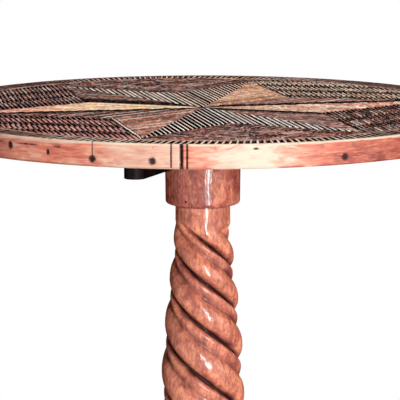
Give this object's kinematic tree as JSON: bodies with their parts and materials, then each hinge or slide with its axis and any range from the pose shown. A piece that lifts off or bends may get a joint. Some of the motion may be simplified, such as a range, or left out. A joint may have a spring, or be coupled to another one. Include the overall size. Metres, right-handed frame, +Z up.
{
  "type": "side table",
  "caption": "Round pedestal side table with a star of split sticks laid in its top, a nailed edge band, a spiral carved column and a tripod base.",
  "frame": {"origin": "on the floor, under the middle of the round top", "axes": "+Z up; -Y is the front, the side that faces the viewer; +X to the viewer's right"},
  "size_m": [0.6, 0.5999, 0.72],
  "materials": {
    "board": "planed softwood, unfinished underneath and darkened with age",
    "band": "bent light wood strip, worn and varnished",
    "iron": "dark aged iron",
    "light_stick": "peeled split stick, varnished",
    "dark_stick": "split stick with dark bark, varnished",
    "ground_stick": "split stick, dark and mottled, varnished",
    "border_stick": "short split stick, varnished",
    "bearer": "dark stained wood",
    "polished_wood": "reddish brown wood, polished to a gloss",
    "peg": "pale wood, planed"
  },
  "bodies": {
    "root": {"board_1": "board", "board_2": "board", "board_3": "board", "board_4": "board", "edge_band": "band", "band_nails": "iron", "star_light_1": "light_stick", "star_light_2": "light_stick", "star_light_3": "light_stick", "star_light_4": "light_stick", "star_light_5": "light_stick", "star_light_6": "light_stick", "star_dark_1": "dark_stick", "star_dark_2": "dark_stick", "star_dark_3": "dark_stick", "star_dark_4": "dark_stick", "star_dark_5": "dark_stick", "star_dark_6": "dark_stick", "ground_1": "ground_stick", "ground_2": "ground_stick", "ground_3": "ground_stick", "ground_4": "ground_stick", "ground_5": "ground_stick", "ground_6": "ground_stick", "border_ring": "border_stick", "border_sticks": "border_stick", "bearer": "bearer", "bearer_screws": "iron", "cap": "polished_wood", "cap_pegs": "peg", "tenon_nail": "iron", "column": "polished_wood", "column_wedge": "peg", "base_block": "polished_wood", "leg_1": "polished_wood", "leg_2": "polished_wood", "leg_3": "polished_wood", "base_plate": "iron", "plate_screws": "iron"}
  },
  "joints": []
}
